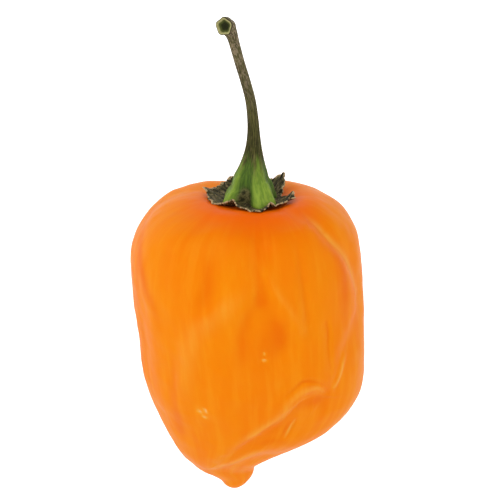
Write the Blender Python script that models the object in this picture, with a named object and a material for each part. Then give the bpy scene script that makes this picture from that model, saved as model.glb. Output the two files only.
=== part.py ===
"""A picked habanero chilli pepper lying on its back: the pod, the calyx that caps it and the stem.

The pieces are modelled in the pepper's own frame, the way it hangs: x to its right, y to its back and z up towards
the stem, with the calyx's seat at the origin. An empty then lays the whole pepper down on the ground.
"""

import math

import bmesh
import bpy
from mathutils import Matrix, Vector
from mathutils.bvhtree import BVHTree
from mathutils.kdtree import KDTree

MM = 0.001

# Driving dimensions
POD_LENGTH = 52.5 * MM  # from the calyx's seat to the tip, along the pod's axis
POD_HALF_WIDTH = 19 * MM  # the widest that a ring of the pod may be, from its centre
LEAN = math.radians(20)  # how far the stem end is raised when the pod lies on its back
REST_FLAT = 0.25 * MM  # how much of the pod's back is flattened where it rests
GAP = 0.3 * MM  # between pieces that touch on the real pepper
CALYX_RADIUS = 6.6 * MM
CALYX_THICKNESS = 0.5 * MM
FOOT_RADIUS = 5.3 * MM  # the stem's flared foot, where it stands on the calyx
STEM_RADIUS = 0.85 * MM  # the stem at its thinnest

POD_SIDES = 60
POD_STEPS = 44
CALYX_SIDES = 60
CALYX_STEPS = 6
STEM_SIDES = 20
STEM_STEPS = 30
STEPS_BETWEEN_ROWS = 16  # of a smooth curve

# The pod's rings from the seat to the tip: depth below the seat as a share of POD_LENGTH, then the ring's centre to
# the right and to the back, its half width and its half depth, as shares of POD_HALF_WIDTH.
POD_RINGS = (
    (0.020, 0.00, 0.00, 0.00, 0.00),
    (0.020, 0.00, 0.00, 0.14, 0.14),
    (0.019, 0.00, 0.00, 0.26, 0.26),
    (0.011, -0.005, 0.00, 0.35, 0.35),
    (0.005, -0.01, 0.00, 0.43, 0.42),
    (0.008, -0.02, 0.00, 0.53, 0.51),
    (0.023, -0.03, 0.00, 0.64, 0.61),
    (0.058, -0.05, 0.00, 0.81, 0.77),
    (0.115, -0.055, 0.01, 0.93, 0.87),
    (0.190, -0.057, 0.02, 0.99, 0.93),
    (0.270, -0.05, 0.00, 1.005, 0.93),
    (0.360, -0.035, -0.035, 1.00, 0.875),
    (0.450, -0.015, -0.07, 0.985, 0.82),
    (0.540, 0.00, -0.09, 0.98, 0.75),
    (0.620, 0.008, -0.10, 0.95, 0.68),
    (0.700, 0.00, -0.10, 0.86, 0.595),
    (0.770, -0.045, -0.10, 0.73, 0.51),
    (0.830, -0.14, -0.095, 0.545, 0.42),
    (0.870, -0.215, -0.09, 0.395, 0.32),
    (0.893, -0.23, -0.08, 0.32, 0.25),
    (0.915, -0.235, -0.07, 0.26, 0.21),
    (0.940, -0.185, -0.065, 0.20, 0.17),
    (0.962, -0.155, -0.065, 0.14, 0.13),
    (0.984, -0.172, -0.07, 0.09, 0.09),
    (0.997, -0.17, -0.065, 0.04, 0.04),
    (1.000, -0.17, -0.065, 0.00, 0.00),
)

# Furrows and hollows: a width, then points along it as degrees round the pod from its right, with -90 at the front,
# the share of the way down, and the depth there. A negative depth is a swelling.
FURROWS = (
    (3.0 * MM, ((-44, 0.008, 0.2), (-41, 0.02, 0.6), (-38, 0.055, 1.1), (-33, 0.11, 1.3), (-24, 0.18, 1.3),
                (-17, 0.28, 1.1), (-19, 0.35, 1.0), (-32, 0.38, 0.9), (-42, 0.43, 0.8), (-44, 0.50, 0.8),
                (-48, 0.545, 1.0), (-57, 0.555, 1.1), (-66, 0.565, 1.1), (-74, 0.60, 1.2), (-80, 0.65, 1.2),
                (-90, 0.715, 1.2), (-98, 0.85, 0.9), (-104, 0.90, 0.4))),
    (3.6 * MM, ((-83, 0.012, 0.3), (-83, 0.11, 0.9), (-82, 0.23, 0.9), (-82, 0.36, 0.6), (-84, 0.50, 0.2))),
    (6.5 * MM, ((-84, 0.36, 0.3), (-82, 0.45, 0.6), (-86, 0.58, 0.5))),
    (5.5 * MM, ((-54, 0.65, 0.6), (-66, 0.70, 0.9), (-76, 0.76, 0.6))),
    (2.8 * MM, ((155, 0.011, 0.3), (168, 0.05, 0.6), (186, 0.09, 0.7), (197, 0.18, 0.7), (202, 0.27, 0.8),
                (201, 0.40, 0.9), (200, 0.49, 0.8), (201, 0.60, 0.5), (205, 0.70, 0.1))),
    (4.0 * MM, ((95, 0.01, 0.4), (92, 0.14, 1.2), (88, 0.40, 1.6), (92, 0.66, 1.4), (100, 0.86, 0.6))),
    (3.0 * MM, ((-93, 0.195, -0.3), (-102, 0.24, -0.5), (-111, 0.29, -0.5), (-117, 0.35, -0.5), (-122, 0.45, -0.5),
                (-130, 0.57, -0.5), (-135, 0.64, -0.3))),
    (7.0 * MM, ((40, 0.05, -0.4), (36, 0.10, -0.7), (28, 0.18, -0.4))),
    (7.0 * MM, ((143, 0.05, -0.8), (147, 0.10, -0.65), (155, 0.18, -0.3))),
    (3.0 * MM, ((40, 0.004, 0.2), (54, 0.003, 0.4))),
    (3.0 * MM, ((118, 0.003, 0.4), (134, 0.004, 0.4))),
    (2.4 * MM, ((-90, 0.87, 0.3), (-76, 0.85, 0.6), (-62, 0.84, 0.8), (-48, 0.83, 0.4))),
)

# The calyx's pointed lobes: degrees round the pod, how far each tip reaches past CALYX_RADIUS, and how high it curls.
LOBES = ((180, 1.6, 0.9), (117, 0.8, 0.6), (44, 0.6, 1.7), (-18, 0.9, 0.3), (-80, 1.6, 0.0), (-138, 0.9, 0.1))
LOBE_SPREAD = math.radians(17)

RIB_COUNT = 5
RIB_TURN = math.radians(-80)  # the rib at the front of the stem's foot
RIB_DEPTH = 0.2  # of the foot's radius

# The stem from its foot to its cut end: right, back and up from the calyx's seat, and the radius, in millimetres.
STEM_ROUTE = (
    (-0.1, 0.0, 0.1, 5.3),
    (-0.1, 0.0, 0.6, 5.0),
    (-0.1, 0.0, 1.5, 4.2),
    (-0.2, 0.0, 2.6, 3.4),
    (-0.1, 0.0, 3.9, 2.65),
    (0.0, 0.0, 5.6, 1.9),
    (0.1, 0.0, 7.7, 1.35),
    (0.1, 0.0, 10.0, 1.05),
    (0.0, -0.1, 12.6, 0.92),
    (-0.4, -0.3, 15.9, 0.83),
    (-1.2, -0.6, 19.1, 0.80),
    (-2.1, -1.0, 22.2, 0.80),
    (-2.9, -1.5, 25.3, 0.84),
    (-3.3, -1.9, 26.8, 0.95),
    (-3.7, -2.4, 27.8, 1.15),
    (-4.1, -3.0, 28.5, 1.40),
    (-4.5, -3.6, 28.6, 1.50),
)


def clear_scene():
    for obj in list(bpy.data.objects):
        bpy.data.objects.remove(obj)


def material(name, colour, roughness):
    made = bpy.data.materials.new(name)
    made.use_nodes = True
    shader = made.node_tree.nodes["Principled BSDF"]
    shader.inputs["Base Color"].default_value = (*colour, 1)
    shader.inputs["Roughness"].default_value = roughness
    shader.inputs["Metallic"].default_value = 0
    return made


def smooth_rows(rows, count):
    """count rows spread evenly along the smooth curve through rows, each a list of as many numbers."""
    rows = [Vector(row) for row in rows]
    knots = [2 * rows[0] - rows[1], *rows, 2 * rows[-1] - rows[-2]]
    fine = []
    for a, b, c, d in zip(knots, knots[1:], knots[2:], knots[3:]):
        for step in range(STEPS_BETWEEN_ROWS):
            t = step / STEPS_BETWEEN_ROWS
            bend = (2 * a - 5 * b + 4 * c - d) * t**2 + (3 * b - a - 3 * c + d) * t**3
            fine.append(b + 0.5 * ((c - a) * t + bend))
    fine.append(rows[-1])
    travelled = [0.0]
    for first, second in zip(fine, fine[1:]):
        travelled.append(travelled[-1] + (second - first).length)
    spread, at = [], 0
    for k in range(count):
        want = travelled[-1] * k / (count - 1)
        while at < len(fine) - 2 and travelled[at + 1] < want:
            at += 1
        share = (want - travelled[at]) / (travelled[at + 1] - travelled[at])
        spread.append(fine[at].lerp(fine[at + 1], min(share, 1.0)))
    return spread


def pod_rings(count):
    """Rings from the seat to the tip, in metres: depth below the seat, centre right and back, half width, half depth."""
    rows = [(POD_LENGTH * down, *(POD_HALF_WIDTH * share for share in shares)) for down, *shares in POD_RINGS]
    return smooth_rows(rows, count)


def ring_point(ring, around):
    down, right, back, half_width, half_depth = ring
    return Vector((right + half_width * math.cos(around), back + half_depth * math.sin(around), -down))


def furrow_lines():
    """Each furrow as its width, a tree of the places along it, and the depth at each of them."""
    rings = pod_rings(500)
    lines = []
    for width, points in FURROWS:
        rows = []
        for degrees, down, depth in points:
            ring = min(rings, key=lambda each: abs(each[0] - down * POD_LENGTH))
            rows.append((*ring_point(ring, math.radians(degrees)), depth * MM))
        rows = smooth_rows(rows, 10 * len(rows))
        tree = KDTree(len(rows))
        for index, row in enumerate(rows):
            tree.insert(row.to_3d(), index)
        tree.balance()
        lines.append((width, tree, [row[3] for row in rows]))
    return lines


def furrow_depth(place, lines):
    """How far the furrows press the pod in at a place on it."""
    total = 0.0
    for width, tree, depths in lines:
        _, index, distance = tree.find(place)
        total += depths[index] * math.exp(-((distance / width) ** 2))
    return total


def ground_direction():
    """Straight down to the ground, in the pepper's own frame."""
    return Vector((0, math.cos(LEAN), -math.sin(LEAN)))


def new_object(bm, name, skin, parent):
    bmesh.ops.recalc_face_normals(bm, faces=bm.faces)
    mesh = bpy.data.meshes.new(name)
    bm.to_mesh(mesh)
    bm.free()
    mesh.materials.append(skin)
    mesh.shade_smooth()
    obj = bpy.data.objects.new(name, mesh)
    bpy.context.scene.collection.objects.link(obj)
    obj.parent = parent
    return obj


def join_rings(bm, rings):
    """Faces between each ring of vertices and the next."""
    for first, second in zip(rings, rings[1:]):
        for side in range(len(first)):
            after = (side + 1) % len(first)
            bm.faces.new((first[side], first[after], second[after], second[side]))


def make_pod(parent):
    """A ball moulded ring by ring into the furrowed pod, with its back flattened where it rests."""
    bm = bmesh.new()
    bmesh.ops.create_uvsphere(bm, u_segments=POD_SIDES, v_segments=POD_STEPS, radius=1)
    rings = pod_rings(POD_STEPS + 1)
    for vert in bm.verts:
        from_top = math.acos(max(-1.0, min(1.0, vert.co.z)))
        vert.co = ring_point(rings[round(from_top / math.pi * POD_STEPS)], math.atan2(vert.co.y, vert.co.x))
    bm.normal_update()
    lines = furrow_lines()
    pressed = [vert.co - vert.normal * furrow_depth(vert.co, lines) for vert in bm.verts]
    for vert, place in zip(bm.verts, pressed):
        vert.co = place
    down = ground_direction()
    lowest = max(place.dot(down) for place in pressed)
    everything = [*bm.verts, *bm.edges, *bm.faces]
    rest = down * (lowest - REST_FLAT)
    bmesh.ops.bisect_plane(bm, geom=everything, plane_co=rest, plane_no=down, clear_outer=True)
    bmesh.ops.holes_fill(bm, edges=[edge for edge in bm.edges if edge.is_boundary])
    return new_object(bm, "pod", material("pod_skin", (0.88, 0.23, 0.012), 0.3), parent)


def calyx_reach(around):
    """The calyx's radius and how high its edge curls, at an angle round it."""
    reach, curl = CALYX_RADIUS, 0.0
    for degrees, longer, higher in LOBES:
        apart = (around - math.radians(degrees) + math.pi) % (2 * math.pi) - math.pi
        share = math.exp(-((apart / LOBE_SPREAD) ** 2))
        reach += longer * MM * share
        curl += higher * MM * share
    return reach, curl


def make_calyx(parent, pod):
    """The lobed cap: a thin sheet laid on top of the pod, its lobes curling up at their tips."""
    pod_tree = BVHTree.FromPolygons(
        [vert.co for vert in pod.data.vertices], [face.vertices for face in pod.data.polygons]
    )
    bm = bmesh.new()
    rings = []
    for step in range(CALYX_STEPS + 1):
        share = max(step, 0.1) / CALYX_STEPS
        ring = []
        for side in range(CALYX_SIDES):
            reach, curl = calyx_reach(2 * math.pi * side / CALYX_SIDES)
            around = 2 * math.pi * side / CALYX_SIDES
            x, y = share * reach * math.cos(around), share * reach * math.sin(around)
            skin = pod_tree.ray_cast(Vector((x, y, POD_LENGTH)), Vector((0, 0, -1)))[0]
            ring.append(Vector((x, y, skin.z + GAP + curl * share**4)))
        rings.append(ring)
    under = [[bm.verts.new(place) for place in ring] for ring in rings]
    top = [[bm.verts.new(place + Vector((0, 0, CALYX_THICKNESS))) for place in ring] for ring in rings]
    join_rings(bm, [*under, *reversed(top)])
    bm.faces.new(under[0])
    bm.faces.new(top[0])
    return new_object(bm, "calyx", material("calyx_skin", (0.06, 0.055, 0.02), 0.7), parent)


def make_stem(parent):
    """The ribbed foot, the bending stem above it and the wider end where it was picked."""
    bm = bmesh.new()
    stations = smooth_rows([[number * MM for number in row] for row in STEM_ROUTE], STEM_STEPS)
    centres = [station.to_3d() for station in stations]
    turn, heading = Matrix.Identity(3), Vector((0, 0, 1))
    rings = []
    for step, (centre, station) in enumerate(zip(centres, stations)):
        ahead = (centres[min(step + 1, STEM_STEPS - 1)] - centres[max(step - 1, 0)]).normalized()
        turn = heading.rotation_difference(ahead).to_matrix() @ turn
        heading = ahead
        flare = max(0.0, (station[3] - 1.5 * STEM_RADIUS) / FOOT_RADIUS)
        in_foot = flare if step < STEM_STEPS // 2 else 0.0
        ring = []
        for side in range(STEM_SIDES):
            around = 2 * math.pi * side / STEM_SIDES
            rib = 1 + RIB_DEPTH * in_foot * (math.cos(RIB_COUNT * (around - RIB_TURN)) - 1)
            place = Vector((math.cos(around), math.sin(around), 0)) * station[3] * rib
            ring.append(bm.verts.new(centre + turn @ place))
        rings.append(ring)
    join_rings(bm, rings)
    bm.faces.new(rings[0])
    bm.faces.new(rings[-1])
    return new_object(bm, "stem", material("stem_skin", (0.12, 0.11, 0.04), 0.6), parent)


def lay_down(pepper, pieces):
    """Turns the standing pepper onto its back, and puts the middle of its box's floor at the origin."""
    pepper.rotation_euler.x = LEAN - math.pi / 2
    bpy.context.view_layer.update()
    corners = [piece.matrix_world @ vert.co for piece in pieces for vert in piece.data.vertices]
    lows = [min(corner[axis] for corner in corners) for axis in range(3)]
    highs = [max(corner[axis] for corner in corners) for axis in range(3)]
    pepper.location = (-(lows[0] + highs[0]) / 2, -(lows[1] + highs[1]) / 2, -lows[2])


def main():
    clear_scene()
    pepper = bpy.data.objects.new("pepper", None)
    bpy.context.scene.collection.objects.link(pepper)
    pod = make_pod(pepper)
    calyx = make_calyx(pepper, pod)
    stem = make_stem(pepper)
    lay_down(pepper, (pod, calyx, stem))


main()
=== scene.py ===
"""The looks of a picked habanero chilli pepper lying on its back: the pod, the frilled calyx and the stem.

Every piece is shaped in the pepper's own frame, the way it hangs: x to its right, y to its back and z up
towards the stem, with the calyx's seat at the origin. Then it is laid down where the frame has it.
"""

import math

import bpy
import numpy as np
from mathutils import Matrix, Vector
from mathutils.bvhtree import BVHTree


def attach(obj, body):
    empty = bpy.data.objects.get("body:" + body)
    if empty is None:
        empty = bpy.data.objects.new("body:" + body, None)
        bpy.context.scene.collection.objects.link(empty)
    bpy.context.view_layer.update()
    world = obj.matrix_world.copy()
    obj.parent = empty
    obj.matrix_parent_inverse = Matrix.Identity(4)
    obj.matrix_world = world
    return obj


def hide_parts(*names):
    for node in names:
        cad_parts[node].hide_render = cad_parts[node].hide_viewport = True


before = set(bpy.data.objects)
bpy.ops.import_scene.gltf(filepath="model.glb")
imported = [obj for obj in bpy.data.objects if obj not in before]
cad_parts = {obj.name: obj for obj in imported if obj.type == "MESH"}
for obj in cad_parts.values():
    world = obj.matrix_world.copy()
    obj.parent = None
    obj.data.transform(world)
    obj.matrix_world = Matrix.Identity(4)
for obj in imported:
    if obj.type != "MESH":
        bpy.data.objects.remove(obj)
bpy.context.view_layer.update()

bl_info = {
    "name": "Habanero pepper",
    "version": (1, 0, 0),
    "blender": (4, 5, 0),
    "location": "View3D > Sidebar > Pepper",
    "description": "Builds a habanero chilli pepper lying on its back, with its floor, lights and camera",
    "category": "Add Mesh",
}

MM = 0.001

# How finely each piece is made: sides round it, and steps along it.
POD_SIDES, POD_STEPS = 88, 66
CALYX_SIDES, CALYX_STEPS = 240, 26
STEM_SIDES, STEM_STEPS = 72, 150

# How finely curves are worked out: places between two rows of a table, rings that a stroke over the pod
# is laid by, places in a stroke for each of its points, and mesh points measured from it at once.
CURVE_PLACES, STROKE_RINGS, STROKE_PLACES, MEASURED_AT_ONCE = 16, 500, 14, 4000

# The radius of the round bar that each piece's pattern is wrapped on, and the length of the stem's bar.
POD_BAR, CALYX_BAR, STEM_BAR = 16 * MM, 6 * MM, 1.8 * MM
STEM_BAR_LENGTH = 30 * MM

# The pod's rings from the seat to the tip: depth below the seat as a share of the pod's length, then
# the ring's centre to the right and to the back, its half width and its half depth, as shares of the
# pod's half width.
POD_RINGS = (
    (0.020, 0.00, 0.00, 0.00, 0.00),
    (0.020, 0.00, 0.00, 0.14, 0.14),
    (0.019, 0.00, 0.00, 0.26, 0.26),
    (0.011, -0.005, 0.00, 0.35, 0.35),
    (0.005, -0.01, 0.00, 0.43, 0.42),
    (0.008, -0.02, 0.00, 0.53, 0.51),
    (0.023, -0.03, 0.00, 0.64, 0.61),
    (0.058, -0.05, 0.00, 0.81, 0.77),
    (0.115, -0.055, 0.01, 0.93, 0.87),
    (0.190, -0.057, 0.02, 0.99, 0.93),
    (0.270, -0.05, 0.00, 1.005, 0.93),
    (0.360, -0.035, -0.035, 1.00, 0.875),
    (0.450, -0.015, -0.07, 0.985, 0.82),
    (0.540, 0.00, -0.09, 0.98, 0.75),
    (0.620, 0.008, -0.10, 0.95, 0.68),
    (0.700, 0.00, -0.10, 0.86, 0.595),
    (0.770, -0.045, -0.10, 0.73, 0.51),
    (0.830, -0.14, -0.095, 0.545, 0.42),
    (0.870, -0.215, -0.09, 0.395, 0.32),
    (0.893, -0.23, -0.08, 0.32, 0.25),
    (0.915, -0.235, -0.07, 0.26, 0.21),
    (0.940, -0.185, -0.065, 0.20, 0.17),
    (0.962, -0.155, -0.065, 0.14, 0.13),
    (0.984, -0.172, -0.07, 0.09, 0.09),
    (0.997, -0.17, -0.065, 0.04, 0.04),
    (1.000, -0.17, -0.065, 0.00, 0.00),
)

# Furrows and folds in the pod's skin: the width to the left and to the right of the line as it runs, in
# millimetres, then points along it as degrees round the pod from its right, with -90 at the front, the
# share of the way down, and the depth there in millimetres. A negative depth is a ridge.
FURROWS = (
    # the long furrow round the right shoulder, down to the front lobe's fold
    (2.6, 2.0, ((-58, 0.014, 0.1), (-47, 0.012, 0.4), (-38, 0.022, 0.6), (-36, 0.045, 0.9),
                (-34, 0.08, 1.1), (-27, 0.14, 1.1), (-21, 0.205, 1.0), (-16, 0.27, 0.7),
                (-18, 0.34, 0.6), (-27, 0.40, 0.5), (-34, 0.45, 0.5), (-38, 0.50, 0.5),
                (-43, 0.56, 0.5), (-49, 0.60, 0.4))),
    # the fold under the front lobe: its crest, the valley below it, and two fine wrinkles along the
    # crest
    (2.4, 1.0, ((-104, 0.79, -0.1), (-96, 0.745, -0.2), (-91, 0.715, -0.3), (-84, 0.685, -0.3),
                (-78, 0.655, -0.3), (-74, 0.615, -0.3), (-70, 0.58, -0.3), (-65, 0.555, -0.3),
                (-60, 0.543, -0.3), (-55, 0.545, -0.2), (-51, 0.565, -0.15), (-49, 0.60, -0.1))),
    (1.2, 3.2, ((-104, 0.85, 0.3), (-96, 0.79, 0.45), (-89, 0.75, 0.55), (-82, 0.715, 0.55),
                (-75, 0.68, 0.5), (-69, 0.635, 0.5), (-64, 0.60, 0.4), (-58, 0.58, 0.35),
                (-52, 0.59, 0.3))),
    (0.3, 0.3, ((-80, 0.70, -0.05), (-76, 0.675, -0.12), (-72, 0.64, -0.16), (-69, 0.605, -0.16),
                (-65, 0.583, -0.14), (-60, 0.578, -0.08))),
    (0.4, 0.4, ((-76, 0.58, 0.05), (-72, 0.557, 0.14), (-68, 0.532, 0.2), (-63, 0.512, 0.22),
                (-57, 0.516, 0.2), (-51, 0.543, 0.16), (-47, 0.578, 0.06))),
    # where the front lobe and the right lobe end above the tip
    (2.4, 2.4, ((-90, 0.87, 0.3), (-76, 0.85, 0.6), (-62, 0.84, 0.8), (-48, 0.83, 0.4))),
    (1.6, 1.2, ((-125, 0.91, -0.1), (-116, 0.88, -0.2), (-98, 0.86, -0.25), (-88, 0.832, -0.25),
                (-79, 0.79, -0.2))),
    # the front furrow, which forks round the broad hollow below it
    (2.2, 2.2, ((-83, 0.012, 0.2), (-83, 0.06, 0.5), (-83, 0.11, 0.6), (-83, 0.17, 0.6),
                (-82, 0.23, 0.5), (-82, 0.29, 0.3))),
    (1.5, 1.5, ((-85, 0.21, 0.1), (-88, 0.26, 0.2), (-91, 0.30, 0.2), (-93, 0.34, 0.2),
                (-95, 0.40, 0.2), (-96, 0.47, 0.1))),
    (1.5, 1.5, ((-80, 0.26, 0.05), (-77, 0.29, 0.15), (-75, 0.32, 0.2), (-74, 0.37, 0.2),
                (-76, 0.42, 0.1))),
    (6.5, 6.5, ((-84, 0.36, 0.3), (-82, 0.45, 0.6), (-86, 0.58, 0.5))),
    (5.5, 5.5, ((-54, 0.65, 0.5), (-66, 0.70, 0.7), (-76, 0.76, 0.5))),
    # the ridge and the crease on the right of the front furrow
    (1.0, 1.2, ((-83, 0.10, -0.1), (-79, 0.15, -0.25), (-76, 0.20, -0.3), (-70, 0.255, -0.3),
                (-65, 0.315, -0.25), (-62, 0.38, -0.1))),
    (0.9, 0.7, ((-61, 0.08, 0.1), (-62, 0.13, 0.25), (-61, 0.205, 0.3), (-60, 0.285, 0.3),
                (-60, 0.36, 0.15))),
    # the ridge down the left of the front, and the crease beside it
    (2.2, 1.8, ((-87, 0.17, -0.15), (-92, 0.21, -0.35), (-97, 0.236, -0.5), (-104, 0.265, -0.5),
                (-111, 0.30, -0.5), (-117, 0.35, -0.5), (-121, 0.405, -0.5), (-124, 0.47, -0.5),
                (-128, 0.54, -0.5), (-132, 0.61, -0.35), (-137, 0.68, -0.15))),
    (1.8, 1.8, ((-129, 0.42, 0.1), (-131, 0.48, 0.25), (-134, 0.56, 0.3), (-136, 0.64, 0.3),
                (-139, 0.72, 0.15))),
    (1.6, 1.6, ((-109, 0.06, 0.1), (-109, 0.12, 0.3), (-109, 0.19, 0.3), (-112, 0.25, 0.1))),
    # the creased facet by the right edge
    (0.5, 0.9, ((-49, 0.31, 0.05), (-48, 0.36, 0.25), (-48, 0.42, 0.25), (-47, 0.50, 0.1))),
    (0.5, 0.5, ((-44, 0.57, -0.1), (-41, 0.53, -0.25), (-38, 0.495, -0.25), (-35, 0.46, -0.15))),
    # the left side, with its crease, and the back
    (2.4, 2.4, ((155, 0.011, 0.3), (165, 0.04, 0.5), (176, 0.07, 0.35), (190, 0.12, 0.1),
                (200, 0.20, 0.05), (204, 0.30, 0.15), (203, 0.40, 0.4), (201, 0.49, 0.5),
                (202, 0.60, 0.3), (205, 0.70, 0.1))),
    (4.0, 4.0, ((95, 0.01, 0.4), (92, 0.14, 1.2), (88, 0.40, 1.6), (92, 0.66, 1.4), (100, 0.86, 0.6))),
    # the swellings at the back of both shoulders, and the dips above them
    (7.0, 7.0, ((40, 0.05, -0.4), (36, 0.10, -0.7), (28, 0.18, -0.4))),
    (7.0, 7.0, ((143, 0.05, -0.8), (147, 0.10, -0.65), (155, 0.18, -0.3))),
    (3.0, 3.0, ((40, 0.004, 0.2), (54, 0.003, 0.4))),
    (3.0, 3.0, ((118, 0.003, 0.4), (134, 0.004, 0.4))),
    # a scratch on the front, and two pairs of small scars
    (0.3, 0.3, ((-65, 0.672, 0.1), (-66, 0.70, 0.3), (-67, 0.745, 0.1))),
    (0.35, 0.35, ((-82.7, 0.40, 0.15), (-82.9, 0.405, 0.15))),
    (0.35, 0.35, ((-83.0, 0.426, 0.2), (-83.3, 0.43, 0.2))),
    (0.30, 0.30, ((-119.8, 0.622, 0.12), (-118.9, 0.626, 0.12))),
    (0.30, 0.30, ((-116.0, 0.615, 0.15), (-115.5, 0.622, 0.15))),
)

# Painted highlights, painted shade and dry scars on the pod's skin, along lines like those above. A positive
# strength is paler, a painted highlight over paler crest skin; one over 1 is a dry scar; a negative one is
# redder, painted shade.
PAINTED_LIGHT_AND_SCARS = (
    # the long furrow and the hollows on each side
    (0.9, 1.1, ((-64, 0.014, 0.3), (-50, 0.009, 0.5), (-38, 0.020, 0.7), (-36, 0.045, 0.8),
                (-34, 0.078, 0.8), (-27, 0.142, 0.7), (-21, 0.205, 0.5), (-16, 0.269, 0.4),
                (-12, 0.323, 0.2))),
    (1.4, 1.6, ((-48, 0.035, -0.2), (-42, 0.08, -0.4), (-36, 0.13, -0.6), (-34, 0.185, -0.7),
                (-34, 0.25, -0.7), (-35, 0.31, -0.5), (-36, 0.375, -0.2))),
    (1.4, 1.4, ((167, 0.057, -0.2), (-173, 0.09, -0.4), (-162, 0.135, -0.6), (-153, 0.195, -0.7),
                (-148, 0.25, -0.6), (-141, 0.30, -0.5), (-139, 0.363, -0.3))),
    # the front furrow, its ridge, its fork and the broad hollow below it
    (0.8, 0.8, ((-83, 0.115, 0.1), (-79, 0.155, 0.3), (-76, 0.20, 0.35), (-70, 0.255, 0.3),
                (-65, 0.315, 0.25), (-62, 0.375, 0.1))),
    (0.8, 0.8, ((-61, 0.075, -0.2), (-62, 0.13, -0.3), (-61, 0.205, -0.25), (-60, 0.285, -0.25),
                (-60, 0.37, -0.2))),
    (1.4, 1.4, ((-83, 0.05, -0.2), (-84, 0.11, -0.35), (-83, 0.17, -0.5), (-82, 0.23, -0.6))),
    (1.3, 1.3, ((-86, 0.227, -0.2), (-90, 0.28, -0.4), (-93, 0.338, -0.5), (-94, 0.395, -0.5),
                (-96, 0.465, -0.2))),
    (1.3, 1.3, ((-79, 0.277, -0.2), (-75, 0.32, -0.5), (-74, 0.368, -0.5), (-76, 0.40, -0.2))),
    (3.2, 3.2, ((-83, 0.29, -0.2), (-82, 0.36, -0.5), (-84, 0.43, -0.4), (-88, 0.52, -0.2))),
    # the left of the front
    (2.2, 1.8, ((-87, 0.18, 0.1), (-92, 0.215, 0.25), (-97, 0.236, 0.35), (-104, 0.263, 0.4),
                (-111, 0.304, 0.4), (-117, 0.353, 0.4), (-121, 0.408, 0.45), (-124, 0.473, 0.45),
                (-127, 0.542, 0.4), (-131, 0.611, 0.3))),
    (1.6, 1.6, ((-109, 0.083, -0.2), (-109, 0.138, -0.5), (-109, 0.197, -0.6), (-111, 0.243, -0.5))),
    (1.6, 1.6, ((-130, 0.448, -0.2), (-133, 0.541, -0.5), (-135, 0.638, -0.6), (-139, 0.724, -0.6))),
    # the fold under the front lobe, the creases by it and the edge above the tip
    (1.1, 0.5, ((-97, 0.747, 0.25), (-91, 0.718, 0.5), (-84, 0.686, 0.65), (-78, 0.659, 0.65),
                (-74, 0.62, 0.5), (-70, 0.582, 0.5), (-65, 0.557, 0.5), (-60, 0.546, 0.6),
                (-55, 0.548, 0.5), (-51, 0.57, 0.4), (-49, 0.60, 0.1))),
    (0.3, 0.3, ((-77, 0.679, 0.3), (-73, 0.64, 0.5), (-70, 0.609, 0.5), (-65, 0.583, 0.5),
                (-61, 0.579, 0.3))),
    (0.4, 0.4, ((-73, 0.559, -0.4), (-68, 0.533, -0.6), (-64, 0.513, -0.7), (-58, 0.517, -0.6),
                (-51, 0.544, -0.5), (-47, 0.578, -0.3))),
    (0.9, 0.9, ((-82, 0.77, -0.3), (-78, 0.756, -0.5), (-72, 0.753, -0.4), (-62, 0.77, -0.3))),
    (0.8, 0.8, ((-125, 0.89, 0.1), (-117, 0.881, 0.3), (-97, 0.859, 0.5), (-89, 0.833, 0.55),
                (-82, 0.804, 0.5), (-78, 0.786, 0.3))),
    (0.45, 0.45, ((-43, 0.558, 0.7), (-40, 0.532, 0.8), (-38, 0.497, 0.7), (-35, 0.462, 0.5),
                (-32, 0.434, 0.3))),
    (0.35, 0.35, ((-49, 0.325, -0.5), (-48, 0.37, -0.6), (-48, 0.421, -0.5), (-47, 0.485, -0.4))),
    (1.6, 1.6, ((-63, 0.606, -0.5), (-54, 0.603, -0.7), (-50, 0.62, -0.3))),
    # the scars and the scratch
    (0.22, 0.22, ((-82.8, 0.402, 2.0), (-82.9, 0.405, 2.0))),
    (0.25, 0.25, ((-82.6, 0.427, 2.6), (-83.6, 0.429, 2.6))),
    (0.25, 0.25, ((-119.8, 0.622, 1.6), (-118.9, 0.626, 1.6))),
    (0.25, 0.25, ((-116.0, 0.615, 1.8), (-115.5, 0.622, 1.8))),
    (0.25, 0.25, ((-117.4, 0.642, 1.5), (-116.4, 0.644, 1.5))),
    (1.0, 1.0, ((-118, 0.62, 0.35), (-116, 0.64, 0.35))),
    (0.22, 0.22, ((-65.5, 0.672, 0.6), (-66.5, 0.708, 1.4), (-67, 0.743, 0.6))),
    (0.4, 0.4, ((-68.5, 0.68, -0.4), (-69.5, 0.708, -0.6), (-70, 0.735, -0.4))),
)

# The calyx's edge: degrees round the pod, then how far it reaches out and lifts off it, in millimetres.
CALYX_EDGE = (
    (0, 4.6, 0.3), (12, 4.8, 0.8), (26, 5.8, 2.0), (42, 6.8, 3.0), (54, 6.4, 2.0), (75, 6.0, 1.3),
    (92, 5.6, 1.0), (118, 7.0, 2.1), (136, 6.9, 1.2), (157, 7.3, 0.7), (176, 8.1, 1.2), (184, 7.4, 0.5),
    (214, 7.85, 0.2), (221, 7.6, 0.1), (229, 6.7, 0.8), (236, 6.0, 1.6), (253, 7.3, 0.4),
    (264, 8.0, 0.2), (279, 8.5, 0.1), (286, 7.9, 0.5), (292, 7.3, 1.2), (298, 7.4, 0.8),
    (314, 7.0, 0.6), (330, 7.1, 1.0), (338, 7.4, 0.6), (346, 6.8, 1.4), (353, 6.0, 0.9),
)
CALYX_CORE = 2.4  # the radius of the hole under the stem's foot, in millimetres
DROPPED_FROM = 20 * MM  # the height over the seat from which the calyx is dropped on the pod

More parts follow.
